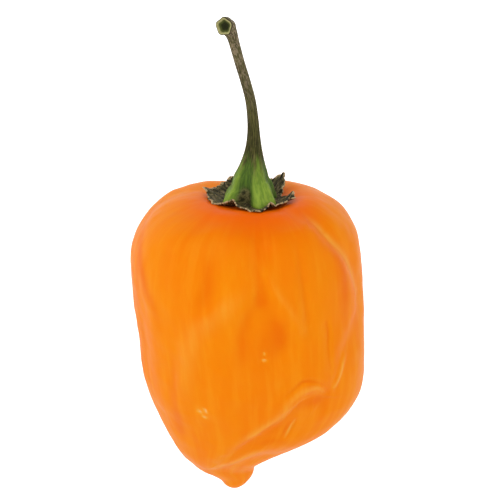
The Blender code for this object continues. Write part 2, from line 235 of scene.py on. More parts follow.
# The stem from its foot to its cut end, in millimetres: right, back and up from the seat, and the radius.
STEM_ROUTE = (
    (-0.1, 0.0, -1.0, 3.5),
    (-0.1, 0.0, -0.4, 3.5),
    (-0.1, 0.0, 0.4, 3.4),
    (-0.1, 0.0, 1.3, 3.25),
    (-0.2, 0.0, 2.6, 2.85),
    (-0.1, 0.0, 3.9, 2.4),
    (0.0, 0.0, 5.6, 1.85),
    (0.1, 0.0, 7.7, 1.35),
    (0.1, 0.0, 10.0, 1.05),
    (0.0, -0.1, 12.6, 0.92),
    (-0.4, -0.3, 15.9, 0.83),
    (-1.2, -0.6, 19.1, 0.80),
    (-2.1, -1.0, 22.2, 0.80),
    (-2.9, -1.5, 25.3, 0.84),
    (-3.3, -1.9, 26.8, 0.95),
    (-3.7, -2.4, 27.8, 1.15),
    (-4.1, -3.0, 28.5, 1.40),
    (-4.5, -3.6, 28.6, 1.50),
)
# The cut end's rings, past the last row above, in millimetres: the radius, and how deep it is sunk.
CUT_FACE = (
    (1.42, -0.10),
    (1.25, -0.06),
    (1.05, 0.10),
    (0.80, 0.25),
    (0.50, 0.32),
    (0.25, 0.34),
    (0.10, 0.35),
)

# The toes of the stem's foot: degrees round it, how far each reaches past the foot's radius, in
# millimetres, and its width in degrees.
TOES = (
    (-76, 3.0, 15), (-47, 2.3, 17), (-145, 2.6, 18), (178, 1.4, 20), (140, 1.2, 20), (100, 1.4, 20),
    (58, 1.6, 22), (15, 0.9, 24), (-111, -0.8, 17),
)
FOOT_DEPTH = 0.6 * MM  # how far under the seat the toes reach furthest
TOE_HEIGHT = 1.7 * MM  # over which they draw in, going up
TOE_TUCK = 0.62  # how far they still reach at their underside, as a share
TOE_UNDERSIDE = (-0.4 * MM, 0.8 * MM)  # the heights between which they come out to their full reach
LONG_TOE = 3 * MM  # the reach that has the highest rib above it
LIT_TOE = 2.4 * MM  # from this reach on, a toe is painted lit, bright green all over
RIB_HEIGHT = 6 * MM  # over which the ribs above the toes fade

# The dry nook between two toes: degrees round the foot, its half width in degrees, and its height.
NOOK_ANGLE, NOOK_WIDTH, NOOK_HEIGHT = -112, 20, 2.9 * MM

# The ripples along the stem: height as a share of the radius, how many go round, their start and twist.
RIPPLES = ((0.020, 7, 0, 0.05), (0.022, 13, 2, -0.03), (0.016, 23, 0, 0.05))
END_STEPS = 12  # the stem's last steps, over which its corners take the ripples' place

# The soft lumps that the pod's skin has all over.
LUMP_WIDTH = 7 * MM
LUMP_HEIGHT = 0.6 * MM

# The painted shade in the pod's hollows, darker and redder the deeper they lie: rounds of smoothing to
# measure a hollow by, and its full depth.
HOLLOW_ROUNDS = 60
FULL_HOLLOW_SHADE = 0.25 * MM

# The calyx's shadow on the pod, painted as a redder, darker patch round the calyx: its middle's place
# towards the front, its reach, the width over which it fades, and how far down the pod it goes.
CALYX_SHADOW_FRONT, CALYX_SHADOW_REACH, CALYX_SHADOW_FADE, CALYX_SHADOW_DOWN = 4 * MM, 14.5 * MM, 9 * MM, 10 * MM

# Colours of single details. The main colours are in PepperColours.
# painted shade in the pod's hollows and creases
POD_PAINTED_SHADE = (0.75, 0.140, 0.001)
# painted highlight on slopes and crests, over the paler skin there
POD_CREST_HIGHLIGHT = (0.80, 0.345, 0.038)
POD_SCAR = (0.76, 0.54, 0.36)
# painted shadow of the calyx on the pod
POD_CALYX_SHADOW = (0.78, 0.105, 0.0)
CALYX_BLOTCH = (0.082, 0.070, 0.020)
CALYX_VEIN = (0.16, 0.13, 0.045)
CALYX_FLECK = (0.24, 0.18, 0.09)
# painted shade in the calyx's creases
CALYX_CREASE_SHADE = (0.008, 0.007, 0.003)
# the foot's greens: painted shade between its toes, painted light on them
FOOT_DEEP_SHADE = (0.056, 0.110, 0.013)
FOOT_SHADED = (0.088, 0.160, 0.018)
FOOT_LIT_MIDDLE = (0.160, 0.265, 0.026)
NOOK_DARK = (0.030, 0.028, 0.009)
NOOK_FIBRE = (0.15, 0.13, 0.05)
STEM_DARK = (0.046, 0.044, 0.010)
# painted shade in the stem's fine creases
STEM_CREASE_SHADE = (0.022, 0.018, 0.006)
STEM_FIBRE = (0.20, 0.17, 0.07)
STEM_CORK = (0.31, 0.24, 0.15)
CUT_EDGE = (0.035, 0.026, 0.010)
CUT_RING = (0.43, 0.40, 0.17)
CUT_FLESH = (0.085, 0.100, 0.022)
CUT_CORE = (0.026, 0.030, 0.008)

# The studio: each soft light's name, place, width and power, then what they point at, and the camera.
LIGHTS = (("Key", (-0.35, 0.30, 0.60), 0.60, 2.1), ("Fill", (0.45, -0.20, 0.60), 0.60, 0.8))
LIT_PLACE = Vector((0, 0, 0.015))
FLOOR_WIDTH = 4
FLOOR_GLOW = (0.12, 0.7)  # on what lies there, and as the camera sees it
SKY_STRENGTH = 1.15
CAMERA_PLACE = (0.00029, 0.00222, 0.325)
CAMERA_LENS = 135


class PepperSizes(bpy.types.PropertyGroup):
    pod_length: bpy.props.FloatProperty(
        name="Pod length", description="From the calyx's seat to the tip", default=0.0525, unit="LENGTH"
    )
    pod_half_width: bpy.props.FloatProperty(
        name="Pod half width", description="Of the pod's widest ring", default=0.019, unit="LENGTH"
    )
    lean: bpy.props.FloatProperty(
        name="Lean", description="How far the stem end is raised", default=math.radians(20), subtype="ANGLE"
    )
    seat: bpy.props.FloatVectorProperty(
        name="Seat",
        description="Where the calyx sits on the pod",
        default=(0.00076, 0.01131, 0.02051),
        subtype="XYZ",
    )
    calyx_thickness: bpy.props.FloatProperty(
        name="Calyx thickness", description="Of the dried sepals", default=0.00024, unit="LENGTH"
    )


class PepperColours(bpy.types.PropertyGroup):
    skin: bpy.props.FloatVectorProperty(
        name="Skin",
        description="Most of the pod",
        default=(0.80, 0.222, 0.002),
        subtype="COLOR",
        size=3,
    )
    # the ripe colour of the blotches, which is also the painted shade in the pod's hollows
    ripe_and_shade: bpy.props.FloatVectorProperty(
        name="Ripe skin",
        description="Hollows and blotches",
        default=(0.79, 0.175, 0.001),
        subtype="COLOR",
        size=3,
    )
    pale: bpy.props.FloatVectorProperty(
        name="Pale skin",
        description="Ridges and streaks",
        default=(0.82, 0.275, 0.008),
        subtype="COLOR",
        size=3,
    )
    # the foot's brightest green, where its toes are painted lit
    foot: bpy.props.FloatVectorProperty(
        name="Foot",
        description="The green foot of the stem",
        default=(0.26, 0.37, 0.040),
        subtype="COLOR",
        size=3,
    )
    stem: bpy.props.FloatVectorProperty(
        name="Stem",
        description="The fibrous stem",
        default=(0.105, 0.104, 0.025),
        subtype="COLOR",
        size=3,
    )
    calyx: bpy.props.FloatVectorProperty(
        name="Calyx",
        description="The dried sepals",
        default=(0.032, 0.027, 0.009),
        subtype="COLOR",
        size=3,
    )
    rim: bpy.props.FloatVectorProperty(
        name="Rim",
        description="The sepals' frayed edge",
        default=(0.45, 0.33, 0.17),
        subtype="COLOR",
        size=3,
    )


def smooth_rows(rows, count):
    """As many rows as count, spread evenly along the smooth curve through the given rows of numbers."""
    rows = np.array(rows, float)
    knots = np.vstack((2 * rows[0] - rows[1], rows, 2 * rows[-1] - rows[-2]))
    t = (np.arange(CURVE_PLACES) / CURVE_PLACES)[:, None]
    fine = []
    for a, b, c, d in zip(knots, knots[1:], knots[2:], knots[3:]):
        bend = (2 * a - 5 * b + 4 * c - d) * t**2 + (3 * b - a - 3 * c + d) * t**3
        fine.append(b + 0.5 * ((c - a) * t + bend))
    fine = np.vstack((*fine, rows[-1:]))
    travelled = np.concatenate(([0], np.linalg.norm(np.diff(fine, axis=0), axis=1).cumsum()))
    want = np.linspace(0, travelled[-1], count)
    return np.column_stack([np.interp(want, travelled, column) for column in fine.T])


def pod_rings(sizes, count):
    """Rings from the seat to the tip, in metres, with columns as in POD_RINGS."""
    scale = np.array([sizes.pod_length] + [sizes.pod_half_width] * 4)
    return smooth_rows(np.array(POD_RINGS) * scale, count)


def ring_points(rings, around):
    """A place on each ring, at an angle round it."""
    down, right, back, half_width, half_depth = np.asarray(rings).T
    return np.column_stack((right + half_width * np.cos(around), back + half_depth * np.sin(around), -down))


def degrees_from(around, degrees):
    """How far round each angle is from one given in degrees, between -180 and 180."""
    return (np.degrees(around) - degrees + 180) % 360 - 180


def laying_down(sizes):
    """The turn and the move that take the hanging pepper to where it lies."""
    return Matrix.Translation(sizes.seat) @ Matrix.Rotation(sizes.lean - math.pi / 2, 4, "X")


def places_of(mesh):
    """Where a mesh's points are, one row each."""
    places = np.empty(len(mesh.vertices) * 3)
    mesh.vertices.foreach_get("co", places)
    return places.reshape(-1, 3)


def normals_of(mesh):
    """Which way a mesh's points face, one row each."""
    normals = np.empty(len(mesh.vertices) * 3)
    mesh.vertices.foreach_get("normal", normals)
    return normals.reshape(-1, 3)


def set_places(mesh, places):
    """Moves a mesh's points."""
    mesh.vertices.foreach_set("co", np.ascontiguousarray(places, dtype=float).ravel())
    mesh.update()


def set_mask(mesh, name, values):
    """Stores a value for each point, for the piece's material to read."""
    mesh.attributes.new(name, "FLOAT", "POINT").data.foreach_set("value", np.asarray(values, np.float32))


def set_grain(mesh, around, radius, along):
    """Stores places on an unbent round bar, for patterns that follow a piece's length."""
    bar = np.column_stack((np.cos(around) * radius, np.sin(around) * radius, along)).astype(np.float32)
    mesh.attributes.new("grain", "FLOAT_VECTOR", "POINT").data.foreach_set("vector", bar.ravel())


def start_piece(name):
    """Names the new primitive, and its mesh, as a piece of its own."""
    piece = bpy.context.active_object
    piece.name = piece.data.name = name
    return piece


def apply_modifier(piece, name, kind, **settings):
    """Adds a modifier to a piece, sets it and applies it."""
    modifier = piece.modifiers.new(name, kind)
    for setting, value in settings.items():
        setattr(modifier, setting, value)
    bpy.context.view_layer.objects.active = piece
    bpy.ops.object.modifier_apply(modifier=modifier.name)


def ring_tube(name, sides, rings):
    """An open tube a unit wide, extruded ring by ring from a circle, with its rings a unit apart."""
    bpy.ops.object.select_all(action="DESELECT")
    bpy.ops.mesh.primitive_circle_add(vertices=sides, radius=1)
    tube = start_piece(name)
    bpy.ops.object.mode_set(mode="EDIT")
    bpy.ops.mesh.select_all(action="SELECT")
    for _ in range(rings - 1):
        bpy.ops.mesh.extrude_region_move(TRANSFORM_OT_translate={"value": (0, 0, 1)})
    bpy.ops.object.mode_set(mode="OBJECT")
    return tube


def select_ring(tube, ring):
    """Opens a tube for editing with one of its rings selected."""
    bpy.ops.object.mode_set(mode="EDIT")
    bpy.ops.mesh.select_mode(type="VERT")
    bpy.ops.mesh.select_all(action="DESELECT")
    bpy.ops.object.mode_set(mode="OBJECT")
    for vert in tube.data.vertices:
        vert.select = round(vert.co.z) == ring
    bpy.ops.object.mode_set(mode="EDIT")


def finish_piece(piece, skin, node, sizes):
    """Lays a piece down, gives it its material and puts it in the frame."""
    piece.data.transform(laying_down(sizes))
    piece.data.materials.append(skin)
    bpy.ops.object.select_all(action="DESELECT")
    piece.select_set(True)
    bpy.context.view_layer.objects.active = piece
    bpy.ops.object.shade_smooth()
    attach(piece, "root")
    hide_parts(node)


def press(places, normals, path, depths, left, right):
    """How far a stroke along a path presses each place in."""
    margin = 3 * max(left, right)
    near = ((places > path.min(0) - margin) & (places < path.max(0) + margin)).all(1)
    pressed = np.zeros(len(places))
    index = np.flatnonzero(near)
    if not len(index):
        return pressed
    ahead = np.gradient(path, axis=0)
    for part in np.array_split(index, 1 + len(index) // MEASURED_AT_ONCE):
        apart = places[part, None] - path[None]
        distance = np.linalg.norm(apart, axis=2)
        closest = distance.argmin(1)
        chosen = np.arange(len(part)), closest
        side = np.einsum("ij,ij->i", np.cross(ahead[closest], normals[part]), apart[chosen])
        width = np.where(side > 0, right, left)
        pressed[part] = depths[closest] * np.exp(-((distance[chosen] / width) ** 2))
    return pressed


def stroke_path(sizes, points):
    """A fine line over the pod, and the depth along it."""
    rings = pod_rings(sizes, STROKE_RINGS)
    rows = []
    for degrees, down, depth in points:
        ring = rings[np.abs(rings[:, 0] - down * sizes.pod_length).argmin()]
        rows.append((*ring_points([ring], math.radians(degrees))[0], depth * MM))
    rows = smooth_rows(rows, STROKE_PLACES * len(rows))
    rows[:, 3] /= MM
    return rows[:, :3], rows[:, 3]


def new_material(name):
    """A new material, its node tree and its Principled BSDF."""
    made = bpy.data.materials.new(name)
    made.use_nodes = True
    return made, made.node_tree, made.node_tree.nodes["Principled BSDF"]


def add_node(tree, kind, values=None, **settings):
    """Adds a node with settings, and a value or another node's socket for each input given."""
    made = tree.nodes.new(kind)
    for setting, value in settings.items():
        setattr(made, setting, value)
    for socket, value in (values or {}).items():
        if isinstance(value, bpy.types.NodeSocket):
            tree.links.new(value, made.inputs[socket])
        else:
            made.inputs[socket].default_value = value
    return made


def attribute(tree, name):
    """A value that set_mask stored."""
    return add_node(tree, "ShaderNodeAttribute", attribute_name=name).outputs["Fac"]


def grain_of(tree):
    """The places that set_grain stored."""
    return add_node(tree, "ShaderNodeAttribute", attribute_name="grain").outputs["Vector"]


def blend_colours(tree, share, first, second):
    """A mix of two colours, each three numbers or another node's socket."""
    ends = [end if isinstance(end, bpy.types.NodeSocket) else (*end, 1) for end in (first, second)]
    mix = add_node(tree, "ShaderNodeMix", {"Factor": share, 6: ends[0], 7: ends[1]}, data_type="RGBA")
    return mix.outputs[2]


def remap(tree, value, from_low, from_high, to_low=0.0, to_high=1.0):
    """A value moved smoothly from one range to another."""
    made = add_node(
        tree,
        "ShaderNodeMapRange",
        {"Value": value, "From Min": from_low, "From Max": from_high, "To Min": to_low, "To Max": to_high},
        interpolation_type="SMOOTHSTEP",
    )
    return made.outputs["Result"]


def maths(tree, operation, first, second, **settings):
    """A sum, difference, product or quotient of two values."""
    return add_node(tree, "ShaderNodeMath", {0: first, 1: second}, operation=operation, **settings).outputs[0]


def streak_group():
    """Streaks and blotches that follow a piece's length, as a mask from 0 to 1."""
    group = bpy.data.node_groups.get("Streaks")
    if group:
        return group
    group = bpy.data.node_groups.new("Streaks", "ShaderNodeTree")
    for name, kind, default in (
        ("Vector", "NodeSocketVector", None),
        ("Scale", "NodeSocketFloat", 1000.0),
        ("Length", "NodeSocketFloat", 8.0),
        ("Contrast", "NodeSocketFloat", 1.0),
    ):
        socket = group.interface.new_socket(name, in_out="INPUT", socket_type=kind)
        if default is not None:
            socket.default_value = default
    group.interface.new_socket("Mask", in_out="OUTPUT", socket_type="NodeSocketFloat")
    given = group.nodes.new("NodeGroupInput")
    shorten = maths(group, "DIVIDE", 1.0, given.outputs["Length"])
    stretch = add_node(group, "ShaderNodeCombineXYZ", {"X": 1.0, "Y": 1.0, "Z": shorten})
    ends = {0: given.outputs["Vector"], 1: stretch.outputs[0]}
    drawn = add_node(group, "ShaderNodeVectorMath", ends, operation="MULTIPLY")
    noise = add_node(
        group,
        "ShaderNodeTexNoise",
        {"Vector": drawn.outputs[0], "Scale": given.outputs["Scale"], "Detail": 4.0, "Roughness": 0.6},
    )
    middle = maths(group, "SUBTRACT", noise.outputs["Fac"], 0.5)
    strong = maths(group, "MULTIPLY", middle, given.outputs["Contrast"])
    mask = maths(group, "ADD", strong, 0.5, use_clamp=True)
    group.links.new(mask, group.nodes.new("NodeGroupOutput").inputs["Mask"])
    return group


def streaks(tree, vector, scale, length, contrast):
    """A mask from the streak group."""
    values = {"Vector": vector, "Scale": scale, "Length": length, "Contrast": contrast}
    return add_node(tree, "ShaderNodeGroup", values, node_tree=streak_group()).outputs["Mask"]


def colour_and_relief(tree, shader, base, relief, strength, distance):
    """Gives a shader its colour, and the fine relief that its bump shows."""
    bump = add_node(tree, "ShaderNodeBump", {"Height": relief, "Strength": strength, "Distance": distance})
    tree.links.new(base, shader.inputs["Base Color"])
    tree.links.new(bump.outputs["Normal"], shader.inputs["Normal"])


def pod_skin(colours):
    """Waxy orange skin, with painted shade making its hollows and creases redder, pale crests with painted
    highlights along them, and the calyx's shadow painted round the calyx.
    """
    made, tree, shader = new_material("pod_skin")
    grain = grain_of(tree)
    hollow_shade = attribute(tree, "hollow_shade")
    calyx_shadow = attribute(tree, "calyx_shadow")
    light_shade_scar = attribute(tree, "light_shade_scar")
    blotches = streaks(tree, grain, 130.0, 3.0, 1.6)
    lines = streaks(tree, grain, 800.0, 9.0, 2.6)
    ripened = remap(tree, blotches, 0.2, 0.8, 0.0, 0.8)
    base = blend_colours(tree, ripened, tuple(colours.skin), tuple(colours.ripe_and_shade))
    base = blend_colours(tree, remap(tree, lines, 0.4, 0.9, 0.0, 0.35), base, tuple(colours.pale))
    base = blend_colours(tree, remap(tree, lines, 0.5, 0.1, 0.0, 0.2), base, tuple(colours.ripe_and_shade))
    # painted shade: the hollows are painted darker and redder
    base = blend_colours(tree, remap(tree, hollow_shade, 0.1, 1.0, 0.0, 0.4), base, tuple(colours.ripe_and_shade))
    # painted shade: negative strokes make hollows and creases redder and darker
    base = blend_colours(tree, remap(tree, light_shade_scar, 0.0, -1.0), base, POD_PAINTED_SHADE)
    # painted highlight: positive strokes make slopes and crests paler
    crest_highlight = maths(tree, "MULTIPLY", light_shade_scar, remap(tree, lines, 0.2, 0.8, 0.85, 1.15))
    base = blend_colours(tree, remap(tree, crest_highlight, 0.0, 1.0, 0.0, 0.8), base, POD_CREST_HIGHLIGHT)
    base = blend_colours(tree, remap(tree, light_shade_scar, 1.0, 3.0), base, POD_SCAR)
    # painted shadow of the calyx: redder and darker round it
    base = blend_colours(tree, remap(tree, calyx_shadow, 0.0, 1.0, 0.0, 0.9), base, POD_CALYX_SHADOW)
    tree.links.new(remap(tree, blotches, 0.0, 1.0, 0.32, 0.42), shader.inputs["Roughness"])
    shader.inputs["Specular IOR Level"].default_value = 0.05
    shader.inputs["Specular Tint"].default_value = (1.0, 0.7, 0.35, 1)
    shader.inputs["Subsurface Weight"].default_value = 0.12
    shader.inputs["Subsurface Radius"].default_value = (1.0, 0.35, 0.08)
    shader.inputs["Subsurface Scale"].default_value = 0.002
    pores = add_node(tree, "ShaderNodeTexNoise", {"Vector": grain, "Scale": 2600.0, "Detail": 3.0})
    relief = maths(tree, "ADD", pores.outputs["Fac"], lines)
    colour_and_relief(tree, shader, base, relief, 0.25, 0.03 * MM)
    return made


def calyx_skin(colours):
    """Dried, papery sepals, dark olive with a pale frayed rim, and near-black painted shade in the creases of
    their crumpled relief.
    """
    made, tree, shader = new_material("calyx_skin")
    grain = grain_of(tree)
    rim = attribute(tree, "rim")
    veins = streaks(tree, grain, 2400.0, 9.0, 2.6)
    blotches = streaks(tree, grain, 700.0, 1.0, 2.4)
    flecks = streaks(tree, grain, 3200.0, 1.5, 4.0)
    base = blend_colours(tree, remap(tree, blotches, 0.3, 0.8), tuple(colours.calyx), CALYX_BLOTCH)
    base = blend_colours(tree, remap(tree, veins, 0.5, 0.9, 0.0, 0.7), base, CALYX_VEIN)
    base = blend_colours(tree, remap(tree, flecks, 0.55, 0.95, 0.0, 0.8), base, CALYX_FLECK)
    # painted shade: near-black where the flecks' relief dips
    base = blend_colours(tree, remap(tree, flecks, 0.45, 0.05, 0.0, 0.8), base, CALYX_CREASE_SHADE)
    frayed = maths(tree, "MULTIPLY", rim, remap(tree, flecks, 0.25, 0.75, 0.45, 1.3))
    base = blend_colours(tree, remap(tree, frayed, 0.5, 0.95), base, tuple(colours.rim))
    shader.inputs["Roughness"].default_value = 0.7
    shader.inputs["Specular IOR Level"].default_value = 0.2
    relief = maths(tree, "ADD", maths(tree, "ADD", veins, blotches), flecks)
    colour_and_relief(tree, shader, base, relief, 0.6, 0.12 * MM)
    return made


def stem_skin(colours):
    """Bright green on the foot, painted lit on its toes and shaded between them; olive brown and fibrous
    above it, with painted shade in its fine creases; a pale ring round the dark cut end.
    """
    made, tree, shader = new_material("stem_skin")
    grain = grain_of(tree)
    along = attribute(tree, "along")
    toe = attribute(tree, "toe")
    nook = attribute(tree, "nook")
    cut = attribute(tree, "cut")
    fibres = streaks(tree, grain, 1900.0, 9.0, 2.6)
    fine = streaks(tree, grain, 5200.0, 7.0, 3.2)
    specks = streaks(tree, grain, 2600.0, 1.6, 4.5)
    # painted light and shade on the foot: shaded greens between the toes, lit greens on them
    shaded = blend_colours(tree, remap(tree, fine, 0.2, 0.8), FOOT_DEEP_SHADE, FOOT_SHADED)
    lit_green = blend_colours(tree, remap(tree, fine, 0.0, 0.9), FOOT_LIT_MIDDLE, tuple(colours.foot))
    green = blend_colours(tree, remap(tree, toe, 0.15, 0.85), shaded, lit_green)
    dry = blend_colours(tree, remap(tree, specks, 0.2, 0.8), NOOK_DARK, NOOK_FIBRE)
    green = blend_colours(tree, remap(tree, nook, 0.2, 0.9), green, dry)
    brown = blend_colours(tree, remap(tree, fibres, 0.3, 0.8), STEM_DARK, tuple(colours.stem))
    # painted shade: near-black where the stem's fine relief dips
    brown = blend_colours(tree, remap(tree, fine, 0.5, 0.05, 0.0, 0.8), brown, STEM_CREASE_SHADE)
    brown = blend_colours(tree, remap(tree, fine, 0.6, 1.0, 0.0, 0.5), brown, STEM_FIBRE)
    ragged = maths(tree, "ADD", along, remap(tree, fibres, 0.0, 1.0, -0.05, 0.05))
    base = blend_colours(tree, remap(tree, ragged, 0.15, 0.27), green, brown)
    corky = remap(tree, specks, 0.40, 0.75, 0.15, 0.95)
    upper = maths(tree, "MULTIPLY", remap(tree, along, 0.35, 0.85), corky)
    base = blend_colours(tree, upper, base, STEM_CORK)
    base = blend_colours(tree, remap(tree, cut, -0.02, 0.03), base, CUT_EDGE)
    base = blend_colours(tree, remap(tree, cut, 0.06, 0.14), base, CUT_RING)
    base = blend_colours(tree, remap(tree, cut, 0.22, 0.40), base, CUT_FLESH)
    base = blend_colours(tree, remap(tree, cut, 0.40, 0.65), base, CUT_CORE)
    tree.links.new(remap(tree, along, 0.1, 0.3, 0.5, 0.7), shader.inputs["Roughness"])
    shader.inputs["Specular IOR Level"].default_value = 0.12
    coarse = maths(tree, "MULTIPLY", fibres, remap(tree, along, 0.08, 0.3, 0.3, 1.0))
    colour_and_relief(tree, shader, base, maths(tree, "ADD", coarse, fine), 0.8, 0.16 * MM)
    return made


def hollows_of(mesh, places, normals):
    """How far each place lies under the surface that its surroundings make, in metres."""
    edges = np.empty(len(mesh.edges) * 2, np.int64)
    mesh.edges.foreach_get("vertices", edges)
    first, second = edges.reshape(-1, 2).T
    count = len(places)
    shares = np.bincount(first, minlength=count) + np.bincount(second, minlength=count)
    smooth = places.copy()
    for _ in range(HOLLOW_ROUNDS):
        around = np.zeros_like(smooth)
        for axis in range(3):
            column = smooth[:, axis]
            around[:, axis] = np.bincount(first, column[second], count)
            around[:, axis] += np.bincount(second, column[first], count)
        smooth = around / shares[:, None]
    return np.einsum("ij,ij->i", smooth - places, normals)


class PEPPER_OT_pod(bpy.types.Operator):
    """Moulds a ball into the furrowed, waxy pod"""

    bl_idname = "pepper.pod"
    bl_label = "Pod"

    def execute(self, context):
        sizes = context.scene.pepper_sizes
        steps = POD_STEPS
        bpy.ops.object.select_all(action="DESELECT")
        bpy.ops.mesh.primitive_uv_sphere_add(segments=POD_SIDES, ring_count=steps, radius=1)
        pod = start_piece("pepper_pod")
        mesh = pod.data
        ball = places_of(mesh)
        step = np.rint(np.arccos(np.clip(ball[:, 2], -1, 1)) / math.pi * steps).astype(int)
        around = np.arctan2(ball[:, 1], ball[:, 0])
        places = ring_points(pod_rings(sizes, steps + 1)[step], around)
        set_places(mesh, places)
        set_grain(mesh, around, POD_BAR, places[:, 2])
        apply_modifier(pod, "Smooth", "SUBSURF", levels=2, render_levels=2)

        places, normals = places_of(mesh), normals_of(mesh)
        pressed, light_shade_scar = np.zeros(len(places)), np.zeros(len(places))
        for left, right, points in FURROWS:
            path, depths = stroke_path(sizes, points)
            pressed += press(places, normals, path, depths * MM, left * MM, right * MM)
        # strokes of painted highlight and painted shade, and the scars
        for left, right, points in PAINTED_LIGHT_AND_SCARS:
            path, strengths = stroke_path(sizes, points)
            light_shade_scar += press(places, normals, path, strengths, left * MM, right * MM)
        set_places(mesh, places - normals * pressed[:, None])
        set_mask(mesh, "light_shade_scar", light_shade_scar)

        lumps = bpy.data.textures.new("Lumps", "CLOUDS")
        lumps.noise_scale = LUMP_WIDTH
        apply_modifier(pod, "Lumps", "DISPLACE", texture=lumps, strength=LUMP_HEIGHT, mid_level=0.5)
        places, normals = places_of(mesh), normals_of(mesh)
        # how deep each place lies in a hollow, for the painted shade there
        set_mask(mesh, "hollow_shade", hollows_of(mesh, places, normals) / FULL_HOLLOW_SHADE)
        # where the calyx's shadow is painted: round the seat, off towards the front, and not far down the pod
        away = np.hypot(places[:, 0], places[:, 1] + CALYX_SHADOW_FRONT)
        calyx_shadow = np.clip((CALYX_SHADOW_REACH - away) / CALYX_SHADOW_FADE, 0, 1) * (places[:, 2] > -CALYX_SHADOW_DOWN)
        set_mask(mesh, "calyx_shadow", calyx_shadow)

        finish_piece(pod, pod_skin(context.scene.pepper_colours), "pod", sizes)
        # the pod is soft, so it lies flat on whatever it would sink into
        places = places_of(mesh)
        places[:, 2] = np.maximum(places[:, 2], 0)
        set_places(mesh, places)
        return {"FINISHED"}


class PEPPER_OT_calyx(bpy.types.Operator):
    """Lays the frilled calyx on top of the pod"""

    bl_idname = "pepper.calyx"
    bl_label = "Calyx"

    def execute(self, context):
        sizes = context.scene.pepper_sizes
        pod = bpy.data.objects["pepper_pod"]
        tree = BVHTree.FromObject(pod, context.evaluated_depsgraph_get())
        lay = laying_down(sizes)
        away = lay.to_3x3() @ Vector((0, 0, -1))
        calyx = ring_tube("pepper_calyx", CALYX_SIDES, CALYX_STEPS)
        mesh = calyx.data
        tube = places_of(mesh)
        around = np.arctan2(tube[:, 1], tube[:, 0])
        share = tube[:, 2] / (CALYX_STEPS - 1)
        degrees, reaches, lifts = np.array(CALYX_EDGE).T
        angle = np.degrees(around) % 360
        reach = np.interp(angle, degrees, reaches, period=360)
        lift = np.interp(angle, degrees, lifts, period=360)
        # small frays along the edge, and the waves that dried into it
        reach += 0.10 * np.sin(29 * around + 1) + 0.08 * np.sin(47 * around + 2) + 0.06 * np.sin(83 * around)
        wave = np.sin(21 * around + 1) + 0.7 * np.sin(34 * around + 3) + 0.4 * np.sin(55 * around)
        radius = (CALYX_CORE + share * (reach - CALYX_CORE)) * MM
        rise = (0.12 + lift * share**2.4 + 0.11 * wave * share**3) * MM
        right, back = radius * np.cos(around), radius * np.sin(around)
        up = np.empty(len(radius))
        for index, (x, y) in enumerate(zip(right, back)):
            hit = tree.ray_cast(lay @ Vector((x, y, DROPPED_FROM)), away)[0]
            up[index] = (lay.inverted() @ hit).z
        set_places(mesh, np.column_stack((right, back, up + rise)))
        set_mask(mesh, "rim", share**14 + 0.35 * (share**6) * (wave > 0.4))
        set_grain(mesh, around, CALYX_BAR, radius)
        if normals_of(mesh)[:, 2].mean() < 0:
            mesh.flip_normals()
        apply_modifier(calyx, "Thickness", "SOLIDIFY", thickness=sizes.calyx_thickness, offset=0)
        apply_modifier(calyx, "Smooth", "SUBSURF", levels=1, render_levels=1)
        finish_piece(calyx, calyx_skin(context.scene.pepper_colours), "calyx", sizes)
        return {"FINISHED"}


